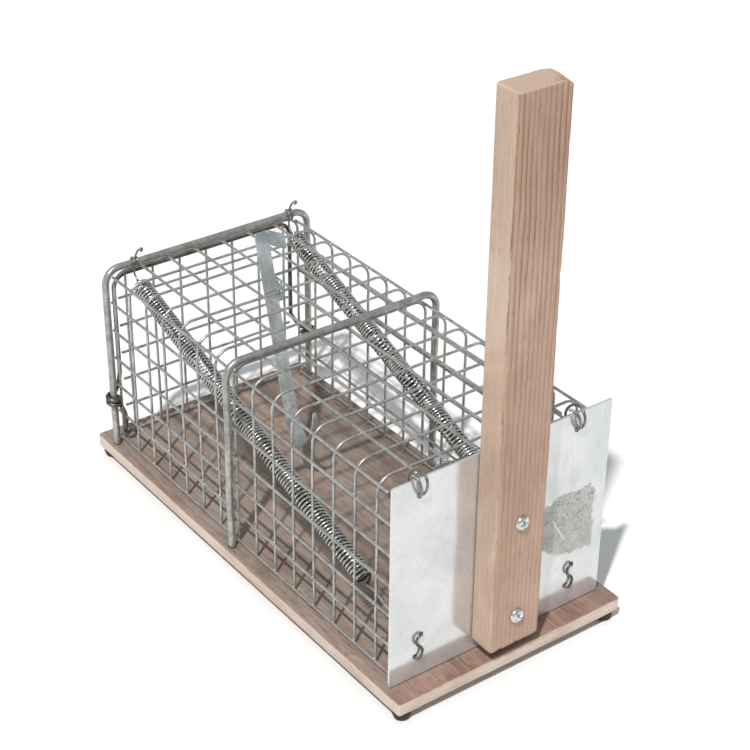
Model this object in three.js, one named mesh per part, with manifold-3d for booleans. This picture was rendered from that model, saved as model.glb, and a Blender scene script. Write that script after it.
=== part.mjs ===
// Live catch trap: a wire mesh cage on a wooden board, closed at the far end by a mesh wall and at
// the near end by a sheet door that hangs from a wire frame. A batten on the door is the setting
// lever: folded down onto the cage top it lifts the door against two long tension springs, and the
// folded head of the trigger strip catches its tip.
// Frame: origin under the middle of the board on the surface it stands on, +X to the right seen
// from the door, +Y from the door to the mesh wall, +Z up. Millimetres.
import * as THREE from "three";
import { mergeVertices } from "three/addons/utils/BufferGeometryUtils.js";
import Module from "manifold-3d";

const wasm = await Module();
wasm.setup();

// ---- driving dimensions ----
const BOARD_W = 102.5, BOARD_L = 211, BOARD_T = 6.5, FOOT_H = 3.5, FOOT_R = 3.4;
const BOARD_TOP = FOOT_H + BOARD_T;
const PITCH = 12.7, WIRE_R = 0.55; // half-inch welded mesh
const CAGE_HALF = 44.45, CAGE_Z0 = 11.5, CAGE_TOP = 88.2, CAGE_R = 6, CAGE_Y1 = 95.25;
const ROWS = 15; // transverse wires counted from the far end
const SIDE_Y0 = -92.6, TOP_Y0 = -88.4; // where the long wires are cut
const TOP_X = [-32.4, -19.7, -7.0, 5.7, 18.4, 31.1];
const HOOP_R = 1.45, HOOP_X = 48.5, HOOP_Z = 91.15, HOOP_BEND = 6.5, SOCKET_Z = 5.5;
const HOOP_FAR_Y = 94.2, HOOP_MID_Y = 5;
const FRAME_R = 1.35, FRAME_X = 41.4, FRAME_Z = 90.4, FRAME_Y = -93.8, FRAME_BEND = 4;
const END_Y = 97.0, ENDF_R = 0.9, ENDF_X = 42.6, ENDF_Z = 85.0, ENDF_Y = 98.9;
const PLATE_X0 = -49.6, PLATE_X1 = 47, PLATE_Z0 = 10.45, PLATE_Z1 = 94.3, PLATE_Y = -97.2, PLATE_T = 0.7;
const STICK_X = -2.6, STICK_W = 21.8, STICK_T = 10.8, STICK_Z0 = 15.5, STICK_Z1 = 226.5;
const STICK_Y1 = PLATE_Y - 0.3, STICK_Y0 = STICK_Y1 - STICK_T;
const SCREW_Z = [28.4, 68.2];
const RING_X = [-38, 31], RING_Y = -95.4, RING_Z = 91.5, RING_R = 4.4, RING_W = 0.55;
const TIE_X = [-37.2, 31.8]; // where the springs' tails meet the door
const SPRING_A = [[-36, 94.2, 85.8], [38, 94.2, 85.8]]; // far ends, tied under the far hoop's bar
const SPRING_B = [[-37.2, -94.8, 23.8], [31.8, -94.8, 23.8]]; // near ends, at the door ties
const COIL_R = 3.35, COIL_W = 0.45, COIL_S0 = 6, COIL_S1 = 168, COIL_TURNS = 15;
const PIVOT = [44.45, 88.2], LEAN = THREE.MathUtils.degToRad(14.7); // trigger pivot y, z
const STRIP_X0 = -4.7, STRIP_X1 = 1.3, STRIP_T = 0.6, STRIP_N = -1.45;

// ---- helpers ----
const V = (x, y, z) => new THREE.Vector3(x, y, z);
function toManifold(geo) {
  let g = geo.index ? geo.toNonIndexed() : geo.clone();
  g.deleteAttribute("normal");
  if (g.getAttribute("uv")) g.deleteAttribute("uv");
  g = mergeVertices(g, 1e-4);
  const vertProperties = new Float32Array(g.attributes.position.array);
  const triVerts = new Uint32Array(g.index.array);
  const make = () => new wasm.Manifold(new wasm.Mesh({ numProp: 3, vertProperties, triVerts }));
  let m = make();
  if (m.volume() < 0) {
    for (let i = 0; i < triVerts.length; i += 3) [triVerts[i + 1], triVerts[i + 2]] = [triVerts[i + 2], triVerts[i + 1]];
    m = make();
  }
  return m;
}
function fromManifold(m) {
  const k = m.getMesh(), np = k.numProp, n = k.vertProperties.length / np;
  const pos = new Float32Array(n * 3);
  for (let i = 0; i < n; i++) for (let j = 0; j < 3; j++) pos[i * 3 + j] = k.vertProperties[i * np + j];
  const g = new THREE.BufferGeometry();
  g.setAttribute("position", new THREE.BufferAttribute(pos, 3));
  g.setIndex(Array.from(k.triVerts));
  const flat = g.toNonIndexed();
  flat.computeVertexNormals();
  return flat;
}
// A round wire swept along points with flat ends.
function sweep(pts, r, sides = 6, closed = false, turn = 0) {
  const n = pts.length, T = [];
  for (let i = 0; i < n; i++) {
    const a = closed ? pts[(i - 1 + n) % n] : pts[Math.max(i - 1, 0)];
    const b = closed ? pts[(i + 1) % n] : pts[Math.min(i + 1, n - 1)];
    T.push(b.clone().sub(a).normalize());
  }
  let u = Math.abs(T[0].x) < 0.9 ? V(1, 0, 0) : V(0, 0, 1);
  u.sub(T[0].clone().multiplyScalar(u.dot(T[0]))).normalize();
  const pos = [], rings = [];
  for (let i = 0; i < n; i++) {
    u = u.clone().sub(T[i].clone().multiplyScalar(u.dot(T[i]))).normalize();
    const w = T[i].clone().cross(u), ring = [];
    for (let k = 0; k < sides; k++) {
      const a = ((k + turn) / sides) * 2 * Math.PI;
      ring.push(pos.length / 3);
      const q = pts[i].clone().addScaledVector(u, r * Math.cos(a)).addScaledVector(w, r * Math.sin(a));
      pos.push(q.x, q.y, q.z);
    }
    rings.push(ring);
  }
  const idx = [], m = closed ? n : n - 1;
  for (let i = 0; i < m; i++)
    for (let k = 0; k < sides; k++) {
      const a = rings[i][k], b = rings[i][(k + 1) % sides];
      const c = rings[(i + 1) % n][(k + 1) % sides], d = rings[(i + 1) % n][k];
      idx.push(a, b, c, a, c, d);
    }
  if (!closed)
    for (let k = 1; k < sides - 1; k++) {
      idx.push(rings[0][0], rings[0][k + 1], rings[0][k]);
      idx.push(rings[n - 1][0], rings[n - 1][k], rings[n - 1][k + 1]);
    }
  const g = new THREE.BufferGeometry();
  g.setAttribute("position", new THREE.BufferAttribute(new Float32Array(pos), 3));
  g.setIndex(idx);
  g.computeVertexNormals();
  return g;
}
const box = (x0, x1, y0, y1, z0, z1) =>
  new THREE.BoxGeometry(x1 - x0, y1 - y0, z1 - z0).translate((x0 + x1) / 2, (y0 + y1) / 2, (z0 + z1) / 2);
const square = (a, b, r) => sweep([a, b], r * 1.2533, 4, false, 0.5); // same section area as a round wire
function union(list) {
  let m = toManifold(list[0]);
  for (let i = 1; i < list.length; i++) m = m.add(toManifold(list[i]));
  return m;
}
// An inverted U in a plane of constant y.
function arch(x, zTop, zFoot, bend, y, steps = 4) {
  const p = [V(-x, y, zFoot)];
  for (let i = 0; i <= steps; i++) {
    const a = Math.PI - (i / steps) * (Math.PI / 2);
    p.push(V(-x + bend + bend * Math.cos(a), y, zTop - bend + bend * Math.sin(a)));
  }
  for (let i = 0; i <= steps; i++) {
    const a = Math.PI / 2 - (i / steps) * (Math.PI / 2);
    p.push(V(x - bend + bend * Math.cos(a), y, zTop - bend + bend * Math.sin(a)));
  }
  p.push(V(x, y, zFoot));
  return p;
}

const group = new THREE.Group();
group.name = "live_catch_trap";
const MAT = {
  wood: [0x9c7f6a, 0.75, 0], batten: [0xc6a48c, 0.7, 0], galv: [0xb9bfbd, 0.45, 0.9],
  sheet: [0xd3d7d7, 0.35, 0.9], dark: [0x6f7471, 0.5, 0.85], screw: [0xdadcdc, 0.25, 1], rubber: [0x26231f, 0.8, 0],
};
const ORIGIN_Y = 2.27; // moves the origin to the middle of the whole footprint, screws included
function put(name, geo, kind) {
  geo.translate(0, ORIGIN_Y, 0);
  const [color, roughness, metalness] = MAT[kind];
  const m = new THREE.Mesh(geo, new THREE.MeshStandardMaterial({ color, roughness, metalness }));
  m.name = name;
  group.add(m);
}

// ---- board and feet ----
{
  let m = toManifold(box(-BOARD_W / 2, BOARD_W / 2, -BOARD_L / 2, BOARD_L / 2, FOOT_H + 0.3, BOARD_TOP));
  const socket = (x, y, r) => {
    m = m.subtract(toManifold(new THREE.CylinderGeometry(r + 0.32, r + 0.32, 6, 12).rotateX(Math.PI / 2).translate(x, y, SOCKET_Z - 0.3 + 3)));
  };
  for (const s of [-1, 1]) {
    socket(s * HOOP_X, HOOP_FAR_Y, HOOP_R);
    socket(s * HOOP_X, HOOP_MID_Y, HOOP_R);
    socket(s * FRAME_X, FRAME_Y, FRAME_R);
  }
  put("base_board", fromManifold(m), "wood");
  const foot = (n, x, y) =>
    put(n, new THREE.CylinderGeometry(FOOT_R, FOOT_R * 0.86, FOOT_H, 16).rotateX(Math.PI / 2).translate(x, y, FOOT_H / 2), "rubber");
  foot("foot_near_left", -47.2, -101.6);
  foot("foot_near_right", 47.2, -101.6);
  foot("foot_far_left", -47.2, 101.6);
  foot("foot_far_right", 47.2, 101.6);
}

// ---- hoops and frames ----
put("hoop_far", sweep(arch(HOOP_X, HOOP_Z, SOCKET_Z, HOOP_BEND, HOOP_FAR_Y), HOOP_R, 10), "galv");
put("hoop_middle", sweep(arch(HOOP_X, HOOP_Z, SOCKET_Z, HOOP_BEND, HOOP_MID_Y), HOOP_R, 10), "galv");
put("frame_near", sweep(arch(FRAME_X, FRAME_Z, SOCKET_Z, FRAME_BEND, FRAME_Y), FRAME_R, 10), "galv");
{
  // the far frame's lower ends wrap two turns round the legs of the far hoop
  const half = arch(ENDF_X, ENDF_Z, 36, 6, ENDF_Y, 3), wrapR = HOOP_R + 0.25 + ENDF_R;
  const coil = (s) => {
    const p = [], start = Math.atan2(ENDF_Y - 1.2 - HOOP_FAR_Y, s * (ENDF_X - HOOP_X));
    for (let i = 0; i <= 18; i++) {
      const a = start - s * (i / 18) * 2 * 2 * Math.PI, z = 33.6 - (i / 18) * 4.4;
      p.push(V(s * HOOP_X + wrapR * Math.cos(a), HOOP_FAR_Y + wrapR * Math.sin(a), z));
    }
    return p;
  };
  const pts = [...coil(-1).reverse(), ...half, ...coil(1)];
  put("end_frame_wire", sweep(pts, ENDF_R, 6), "dark");
}

// ---- cage mesh: sides, top and far wall ----
const rowY = (k) => CAGE_Y1 - PITCH * k;
const sideZ = [0, 1, 2, 3, 4, 5].map((j) => CAGE_Z0 + PITCH * j);
const LONG = CAGE_HALF + WIRE_R * 1.75; // long wires are welded on the outside
const arcPoint = (s, a, r) => V(s * (CAGE_HALF - CAGE_R + r * Math.sin(a)), 0, CAGE_TOP - CAGE_R + r * Math.cos(a));
for (const s of [-1, 1]) {
  const list = [];
  const TOPCUT = CAGE_TOP - CAGE_R - 0.4;
  for (let k = 0; k < ROWS; k++)
    list.push(square(V(s * CAGE_HALF, rowY(k), CAGE_Z0 - 1), V(s * CAGE_HALF, rowY(k), TOPCUT), WIRE_R));
  for (const z of sideZ) list.push(square(V(s * LONG, SIDE_Y0, z), V(s * LONG, CAGE_Y1 + 1, z), WIRE_R));
  put(s < 0 ? "mesh_left" : "mesh_right", fromManifold(union(list)), "galv");
}
{
  const list = [];
  for (let k = 0; k < ROWS; k++) {
    const p = [];
    for (let i = 0; i <= 3; i++) p.push(arcPoint(-1, (Math.PI / 2) * (1 - i / 3), CAGE_R));
    for (let i = 0; i <= 3; i++) p.push(arcPoint(1, (Math.PI / 2) * (i / 3), CAGE_R));
    list.push(sweep(p.map((q) => V(q.x, rowY(k), q.z)), WIRE_R * 1.2533, 4, false, 0.5));
  }
  const z = CAGE_TOP + WIRE_R * 1.75;
  for (const x of TOP_X) list.push(square(V(x, TOP_Y0, z), V(x, CAGE_Y1 + 1, z), WIRE_R));
  for (const s of [-1, 1]) {
    const q = arcPoint(s, THREE.MathUtils.degToRad(56), CAGE_R + WIRE_R * 1.75);
    list.push(square(V(q.x, TOP_Y0, q.z), V(q.x, CAGE_Y1 + 1, q.z), WIRE_R));
  }
  put("mesh_top", fromManifold(union(list)), "galv");
}
{
  const list = [], yo = END_Y + WIRE_R * 1.75;
  for (let i = -3; i <= 3; i++) list.push(square(V(i * PITCH, END_Y, CAGE_Z0 - 1), V(i * PITCH, END_Y, CAGE_TOP - 3.2), WIRE_R));
  for (const z of sideZ) list.push(square(V(-41.2, yo, z), V(41.2, yo, z), WIRE_R));
  put("mesh_end", fromManifold(union(list)), "galv");
}

// ---- door: sheet plate, batten, screws, rings, ties ----
{
  let m = toManifold(box(PLATE_X0, PLATE_X1, PLATE_Y, PLATE_Y + PLATE_T, PLATE_Z0, PLATE_Z1));
  const hole = (x, z, r) => {
    m = m.subtract(toManifold(new THREE.CylinderGeometry(r, r, 6, 10).translate(x, PLATE_Y, z)));
  };
  for (const x of RING_X) hole(x, RING_Z - 4.15, 1.25);
  for (const z of SCREW_Z) hole(STICK_X, z, 1.95);
  for (const x of TIE_X) { hole(x + 1.2, 28.2, 1.1); hole(x - 1.2, 19.4, 1.1); }
  put("door_plate", fromManifold(m), "sheet");

  const c = 1.0; // broken edges of the batten
  const sh = new THREE.Shape();
  const x0 = STICK_X - STICK_W / 2, x1 = STICK_X + STICK_W / 2;
  [[x0, STICK_Y0 + c], [x0 + c, STICK_Y0], [x1 - c, STICK_Y0], [x1, STICK_Y0 + c], [x1, STICK_Y1], [x0, STICK_Y1]].forEach(
    ([x, y], i) => (i ? sh.lineTo(x, y) : sh.moveTo(x, y)),
  );
  const st = new THREE.ExtrudeGeometry(sh, { depth: STICK_Z1 - STICK_Z0, bevelEnabled: false }).translate(0, 0, STICK_Z0);
  let b = toManifold(st);
  for (const z of SCREW_Z) b = b.subtract(toManifold(new THREE.CylinderGeometry(1.95, 1.95, 40, 12).translate(STICK_X, STICK_Y0, z)));
  put("door_stick", fromManifold(b), "batten");

  // pan head screws through batten and plate, each with a nut behind the plate
  SCREW_Z.forEach((z, i) => {
    const name = i ? "upper" : "lower";
    const y = STICK_Y0 - 0.05, tip = PLATE_Y + PLATE_T + 3.0;
    const prof = [[0, 0], [0, 1.7], [1.5, 1.65], [2.4, 1.25], [2.9, 0.5], [2.9, 0], [1.6, 0], [1.6, y - tip], [1.3, y - tip - 0.4], [0, y - tip - 0.4]];
    const pts = prof.slice(1).map(([r, h]) => new THREE.Vector2(r, h)).reverse();
    put("screw_" + name, screwGeometry(pts, y, z), "screw");
    const nut = toManifold(new THREE.CylinderGeometry(3.2, 3.2, 2.2, 6)).subtract(toManifold(new THREE.CylinderGeometry(1.9, 1.9, 6, 12)));
    put("nut_" + name, fromManifold(nut).translate(STICK_X, PLATE_Y + PLATE_T + 0.3 + 1.1, z), "screw");
  });

  RING_X.forEach((x, i) => {
    const p = [];
    for (let k = 0; k < 14; k++) {
      const a = (k / 14) * 2 * Math.PI;
      p.push(V(x, RING_Y + RING_R * Math.cos(a), RING_Z + RING_R * Math.sin(a)));
    }
    put(i ? "hinge_ring_right" : "hinge_ring_left", sweep(p, RING_W, 5, true), "galv");
  });

  TIE_X.forEach((x, i) => {
    // an S of wire in front of the plate, with both ends turned through the plate behind it
    const y = PLATE_Y - 0.95, q = [
      V(x + 1.2, PLATE_Y + 2.1, 26.6), V(x + 1.2, PLATE_Y + 1.7, 28.2), V(x + 1.2, y + 0.2, 28.2), V(x - 0.1, y, 27.4), V(x - 1.1, y, 25.6),
      V(x - 0.9, y, 24.4), V(x + 0.9, y, 23.2), V(x + 1.1, y, 21.8), V(x + 0.1, y, 20.2), V(x - 1.2, y + 0.2, 19.4), V(x - 1.2, PLATE_Y + 1.7, 19.4), V(x - 1.2, PLATE_Y + 2.1, 21.0),
    ];
    put(i ? "door_tie_right" : "door_tie_left", sweep(q, 0.5, 6), "dark");
  });
}
// The profile's height runs along +Y, and the head rises toward -Y.
function screwGeometry(pts, y, z) {
  const m = toManifold(new THREE.LatheGeometry(pts, 10).rotateZ(Math.PI));
  const cross = toManifold(box(-1.7, 1.7, -2.2, -1.0, -0.32, 0.32)).add(toManifold(box(-0.32, 0.32, -2.2, -1.0, -1.7, 1.7)));
  return fromManifold(m.subtract(cross)).rotateY(0.5).translate(STICK_X, y, z);
}

// ---- springs with their tails, and the wires that tie them to the far hoop ----
SPRING_A.forEach((A, i) => {
  const n = i ? "right" : "left", a = V(...A), b = V(...SPRING_B[i]);
  const L = a.distanceTo(b), ax = b.clone().sub(a).normalize();
  const side = V(1, 0, 0).sub(ax.clone().multiplyScalar(ax.x)).normalize(), up = side.clone().cross(ax).normalize();
  const at = (s, p = 0, q = 0) => a.clone().addScaledVector(ax, s).addScaledVector(side, p).addScaledVector(up, q);
  const p = [], N = COIL_TURNS * 6;
  for (let k = 0; k <= N; k++) {
    const t = (k / 6) * 2 * Math.PI;
    p.push(at(COIL_S0 + ((COIL_S1 - COIL_S0) * k) / N, COIL_R * Math.cos(t), COIL_R * Math.sin(t)));
  }
  put("spring_" + n, sweep(p, COIL_W, 4), "galv");
  put("spring_tail_" + n, sweep([at(COIL_S1 + 1.6, 0, 2.2), at(COIL_S1 + 4.5, 0, 0.6), at(COIL_S1 + 8), at(L - 2.6)], COIL_W, 6), "galv");
  // thin wire from the spring's end, round the hoop bar, with a curled end
  const t = [], y0 = HOOP_FAR_Y, z0 = HOOP_Z, r = HOOP_R + 0.3 + 0.4, x = A[0] + (i ? 1 : -1) * 0.2;
  t.push(at(COIL_S0 - 1.6, 0, -0.4), V(x, y0 - 1.9, z0 - 4.2));
  for (let k = 0; k <= 18; k++) {
    const g = -Math.PI * 0.86 - (k / 18) * 2 * Math.PI * 1.55;
    t.push(V(x + (k / 18) * 2.6, y0 + r * Math.cos(g), z0 + r * Math.sin(g)));
  }
  t.push(V(x + 3.2, y0 + 0.6, z0 + 3.9), V(x + 4.4, y0 + 0.2, z0 + 4.9), V(x + 5.2, y0 + 0.6, z0 + 4.1));
  put("spring_tie_" + n, sweep(t, 0.4, 5), "galv");
});

// ---- trigger strip ----
{
  // (n, s) in the plane across X: s runs up the strip, n toward the door
  const S = [Math.sin(LEAN), Math.cos(LEAN)], Nn = [-Math.cos(LEAN), Math.sin(LEAN)];
  const yz = (n, s) => [PIVOT[0] + n * Nn[0] + s * S[0], PIVOT[1] + n * Nn[1] + s * S[1]];
  const prism = (pts, x0, x1) => {
    const sh = new THREE.Shape();
    pts.forEach(([n, s], i) => { const [y, z] = yz(n, s); i ? sh.lineTo(y, z) : sh.moveTo(y, z); });
    const g = new THREE.ExtrudeGeometry(sh, { depth: x1 - x0, bevelEnabled: false });
    // shape plane (y, z) with depth along x
    g.applyMatrix4(new THREE.Matrix4().set(0, 0, 1, x0, 1, 0, 0, 0, 0, 1, 0, 0, 0, 0, 0, 1));
    return g;
  };
  const mid = [[-1.45, 25], [-1.45, -48], [-1.2, -53], [-0.2, -57.2], [1.8, -60.4], [4.8, -61.9], [8.4, -60.9], [11.8, -58], [14.6, -54], [16.0, -50.2], [16.6, -46.4]];
  const L = [], R = [];
  for (let i = 0; i < mid.length; i++) {
    const a = mid[Math.max(i - 1, 0)], b = mid[Math.min(i + 1, mid.length - 1)];
    const d = Math.hypot(b[0] - a[0], b[1] - a[1]), nx = -(b[1] - a[1]) / d, ny = (b[0] - a[0]) / d;
    L.push([mid[i][0] + (nx * STRIP_T) / 2, mid[i][1] + (ny * STRIP_T) / 2]);
    R.push([mid[i][0] - (nx * STRIP_T) / 2, mid[i][1] - (ny * STRIP_T) / 2]);
  }
  let m = toManifold(prism([...L, ...R.reverse()], STRIP_X0, STRIP_X1));
  // the hook narrows to a point
  for (const s of [-1, 1]) {
    const cx = (STRIP_X0 + STRIP_X1) / 2;
    const wedge = new THREE.Shape();
    wedge.moveTo(cx + s * 3.3, 0); wedge.lineTo(cx + s * 3.3, 22); wedge.lineTo(cx + s * 0.9, 22); wedge.lineTo(cx + s * 3.0, 0); wedge.closePath();
    const g = new THREE.ExtrudeGeometry(wedge, { depth: 12, bevelEnabled: false });
    const [ya, za] = yz(2, -64);
    g.applyMatrix4(new THREE.Matrix4().set(1, 0, 0, 0, 0, Nn[0], S[0], ya, 0, Nn[1], S[1], za, 0, 0, 0, 1));
    m = m.subtract(toManifold(g));
  }
  // head ear that holds the batten's tip, and pivot ear round a transverse wire
  m = m.add(toManifold(prism([[-1.75, 19], [-1.75, 25], [10.3, 25], [10.3, 19]].reverse(), STRIP_X1 - 0.05, STRIP_X1 + STRIP_T)));
  let ear = toManifold(prism([[-1.75, -3.2], [-1.75, 5], [1.2, 5], [2.6, 2.6], [2.6, -1.6], [1.4, -3.2]].reverse(), STRIP_X1 - 0.05, STRIP_X1 + STRIP_T));
  ear = ear.subtract(toManifold(new THREE.CylinderGeometry(1.0, 1.0, 20, 12).rotateZ(Math.PI / 2).translate(STRIP_X1, PIVOT[0], PIVOT[1])));
  m = m.add(ear);
  put("trigger_strip", fromManifold(m), "sheet");
}

// ---- thin lashing wire twisted round the near frame's bar ----
{
  const p = [], r = FRAME_R + 0.3 + 0.28;
  for (let k = 0; k <= 42; k++) {
    const a = (k / 7) * 2 * Math.PI;
    p.push(V(-27 + (k / 42) * 14, FRAME_Y + r * Math.cos(a), FRAME_Z + r * Math.sin(a)));
  }
  put("lashing_near", sweep(p, 0.28, 4), "galv");
}

export default group;
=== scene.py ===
import bpy, math
import numpy as np
from mathutils import Matrix, Vector, noise


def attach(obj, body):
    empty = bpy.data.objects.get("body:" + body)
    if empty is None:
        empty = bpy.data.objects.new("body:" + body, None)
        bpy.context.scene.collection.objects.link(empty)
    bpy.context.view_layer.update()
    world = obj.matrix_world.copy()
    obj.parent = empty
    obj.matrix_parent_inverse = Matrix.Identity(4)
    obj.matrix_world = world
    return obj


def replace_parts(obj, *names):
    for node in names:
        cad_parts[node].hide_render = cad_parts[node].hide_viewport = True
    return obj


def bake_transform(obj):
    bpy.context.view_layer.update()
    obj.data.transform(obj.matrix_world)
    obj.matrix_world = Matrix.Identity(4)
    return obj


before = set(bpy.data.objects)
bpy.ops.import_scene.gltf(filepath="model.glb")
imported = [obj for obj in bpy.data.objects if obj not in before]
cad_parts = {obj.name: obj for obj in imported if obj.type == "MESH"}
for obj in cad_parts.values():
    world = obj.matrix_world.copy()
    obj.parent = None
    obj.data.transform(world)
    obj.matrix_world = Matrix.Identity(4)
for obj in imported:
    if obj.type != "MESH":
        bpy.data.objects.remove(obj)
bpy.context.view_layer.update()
OY = 2.27  # the CAD frame's shift along Y, mm

# ------------------------------------------------------------------ mesh helpers (millimetres in, metres out)


def arr(points):
    return np.array(points, float).reshape(-1, 3)


def unit(v):
    return v / max(np.linalg.norm(v), 1e-12)


def smooth_path(points, per=8):
    """Catmull-Rom through the points."""
    p = arr(points)
    q = np.vstack([2 * p[0] - p[1], p, 2 * p[-1] - p[-2]])
    out = []
    for i in range(1, len(q) - 2):
        a, b, c, d = q[i - 1], q[i], q[i + 1], q[i + 2]
        for k in range(per):
            t = k / per
            out.append(0.5 * (2 * b + (c - a) * t + (2 * a - 5 * b + 4 * c - d) * t * t + (3 * b - a - 3 * c + d) * t ** 3))
    out.append(p[-1])
    return arr(out)


class Geo:
    """Gathers vertices and faces, then becomes one object."""

    def __init__(self):
        self.v, self.f, self.flat, self.mat = [], [], [], []
        self.n = 0

    def add(self, verts, faces, flat=False, mat=0):
        verts = arr(verts)
        self.v.append(verts)
        self.f += [tuple(i + self.n for i in f) for f in faces]
        self.flat += [flat] * len(faces)
        self.mat += [mat] * len(faces)
        self.n += len(verts)

    def tube(self, pts, r, sides=8, closed=False, rot=0.0, mat=0):
        p = arr(pts)
        n = len(p)
        rad = np.full(n, float(r)) if np.isscalar(r) else np.array(r, float)
        t = np.roll(p, -1, 0) - np.roll(p, 1, 0) if closed else np.gradient(p, axis=0)
        t /= np.maximum(np.linalg.norm(t, axis=1), 1e-9)[:, None]
        if not closed:  # chamfered cut ends
            a, b = p[0] - t[0] * rad[0] * 0.28, p[-1] + t[-1] * rad[-1] * 0.28
            p = np.vstack([a, p, b])
            t = np.vstack([t[0], t, t[-1]])
            rad = np.concatenate([[rad[0] * 0.72], rad, [rad[-1] * 0.72]])
            n += 2
        u = np.array([1.0, 0, 0]) if abs(t[0][0]) < 0.9 else np.array([0, 0, 1.0])
        u = unit(u - t[0] * u.dot(t[0]))
        ang = np.arange(sides) / sides * 2 * np.pi + rot
        ca, sa = np.cos(ang)[:, None], np.sin(ang)[:, None]
        rings = np.zeros((n, sides, 3))
        us = []
        for i in range(n):
            u = unit(u - t[i] * u.dot(t[i]))
            us.append(u)
        if closed:  # spread the leftover twist
            u2 = unit(u - t[0] * u.dot(t[0]))
            w0 = np.cross(t[0], us[0])
            twist = math.atan2(u2.dot(w0), u2.dot(us[0]))
        for i in range(n):
            w = np.cross(t[i], us[i])
            if closed:
                k = -twist * i / n
                uu = us[i] * math.cos(k) + w * math.sin(k)
                ww = np.cross(t[i], uu)
            else:
                uu, ww = us[i], w
            rings[i] = p[i] + rad[i] * (ca * uu + sa * ww)
        faces = []
        m = n if closed else n - 1
        for i in range(m):
            a, b = i * sides, ((i + 1) % n) * sides
            for k in range(sides):
                k2 = (k + 1) % sides
                faces.append((a + k, a + k2, b + k2, b + k))
        self.add(rings.reshape(-1, 3), faces, mat=mat)
        if not closed:
            base = self.n - n * sides
            self.f += [tuple(base + k for k in reversed(range(sides))), tuple(base + (n - 1) * sides + k for k in range(sides))]
            self.flat += [True, True]
            self.mat += [mat, mat]

    def stack(self, rings, flat_caps=True, mats=None, hollow=False, cap_mats=(0, 0)):
        """Joins rings of equal count into one closed body. mats gives a slot per band."""
        n = len(rings[0])
        assert all(len(r) == n for r in rings), "rings differ in count"
        verts = np.vstack([arr(r) for r in rings])
        base = self.n
        faces, ms = [], []
        last = len(rings) if hollow else len(rings) - 1
        for j in range(last):
            a, b = j * n, ((j + 1) % len(rings)) * n
            for k in range(n):
                k2 = (k + 1) % n
                faces.append((a + k, a + k2, b + k2, b + k))
                ms.append(mats[j] if mats else 0)
        self.add(verts, faces)
        self.mat[-len(faces):] = ms
        if not hollow:
            self.f += [tuple(base + k for k in reversed(range(n))), tuple(base + (len(rings) - 1) * n + k for k in range(n))]
            self.flat += [flat_caps] * 2
            self.mat += list(cap_mats)

    def knot(self, c, r, squash=(1, 1, 1), mat=0):
        """A small lump of zinc at a weld."""
        rows, cols = 5, 8
        v = [np.array([0, 0, 1.0])]
        for i in range(1, rows):
            a = math.pi * i / rows
            for k in range(cols):
                b = 2 * math.pi * k / cols
                v.append(np.array([math.sin(a) * math.cos(b), math.sin(a) * math.sin(b), math.cos(a)]))
        v.append(np.array([0, 0, -1.0]))
        f = []
        for k in range(cols):
            k2 = (k + 1) % cols
            f.append((0, 1 + k, 1 + k2))
            f.append((len(v) - 1, 1 + (rows - 2) * cols + k2, 1 + (rows - 2) * cols + k))
            for i in range(rows - 2):
                a, b = 1 + i * cols, 1 + (i + 1) * cols
                f.append((a + k, b + k, b + k2, a + k2))
        self.add(np.array(v) * r * np.array(squash) + np.array(c), f, mat=mat)

    def warp(self, fn):
        self.v = [fn(v) for v in self.v]

    def build(self, name, mats, body=None, nodes=(), smooth=True):
        v = np.vstack(self.v).copy()
        v[:, 1] += OY
        v *= 1e-3
        me = bpy.data.meshes.new(name)
        me.from_pydata(v.tolist(), [], self.f)
        me.polygons.foreach_set("use_smooth", [smooth and not x for x in self.flat])
        me.polygons.foreach_set("material_index", self.mat)
        for m in mats if isinstance(mats, (list, tuple)) else [mats]:
            me.materials.append(m)
        me.validate()
        me.update()
        ob = bpy.data.objects.new(name, me)
        bpy.context.scene.collection.objects.link(ob)
        if body:
            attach(ob, body)
        if nodes:
            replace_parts(ob, *nodes)
        return ob


def recalc(ob):
    import bmesh
    bm = bmesh.new()
    bm.from_mesh(ob.data)
    bmesh.ops.recalc_face_normals(bm, faces=bm.faces)
    bm.to_mesh(ob.data)
    bm.free()


def sharp_by_angle(ob, deg=35):
    import bmesh
    bm = bmesh.new()
    bm.from_mesh(ob.data)
    for f in bm.faces:
        f.smooth = True
    for e in bm.edges:
        if len(e.link_faces) != 2 or e.calc_face_angle(0) > math.radians(deg):
            e.smooth = False
    bm.to_mesh(ob.data)
    bm.free()


def cylinder_pts(c, axis, r, h, n=24):
    """Two rings of a cutter along an axis ('y' or 'z'), starting at c."""
    out = []
    for d in (0, h):
        ring = []
        for k in range(n):
            a = 2 * math.pi * k / n
            if axis == "z":
                ring.append((c[0] + r * math.cos(a), c[1] + r * math.sin(a), c[2] + d))
            else:
                ring.append((c[0] + r * math.cos(a), c[1] + d, c[2] - r * math.sin(a)))
        out.append(ring)
    return out


def cut(ob, rings_list):
    """Takes closed cylinders out of an object."""
    g = Geo()
    for rings in rings_list:
        g.stack(rings)
    tool = g.build("cutter", ob.data.materials[0])
    recalc(tool)
    recalc(ob)
    mod = ob.modifiers.new("cut", "BOOLEAN")
    mod.operation, mod.solver, mod.object = "DIFFERENCE", "EXACT", tool
    bpy.context.view_layer.update()
    dg = bpy.context.evaluated_depsgraph_get()
    me = bpy.data.meshes.new_from_object(ob.evaluated_get(dg))
    ob.modifiers.clear()
    ob.data = me
    bpy.data.objects.remove(tool)


def fnoise(p, s, o=0.0):
    return noise.noise(Vector((p[0] * s + o, p[1] * s + o * 1.7, p[2] * s - o)))


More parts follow.
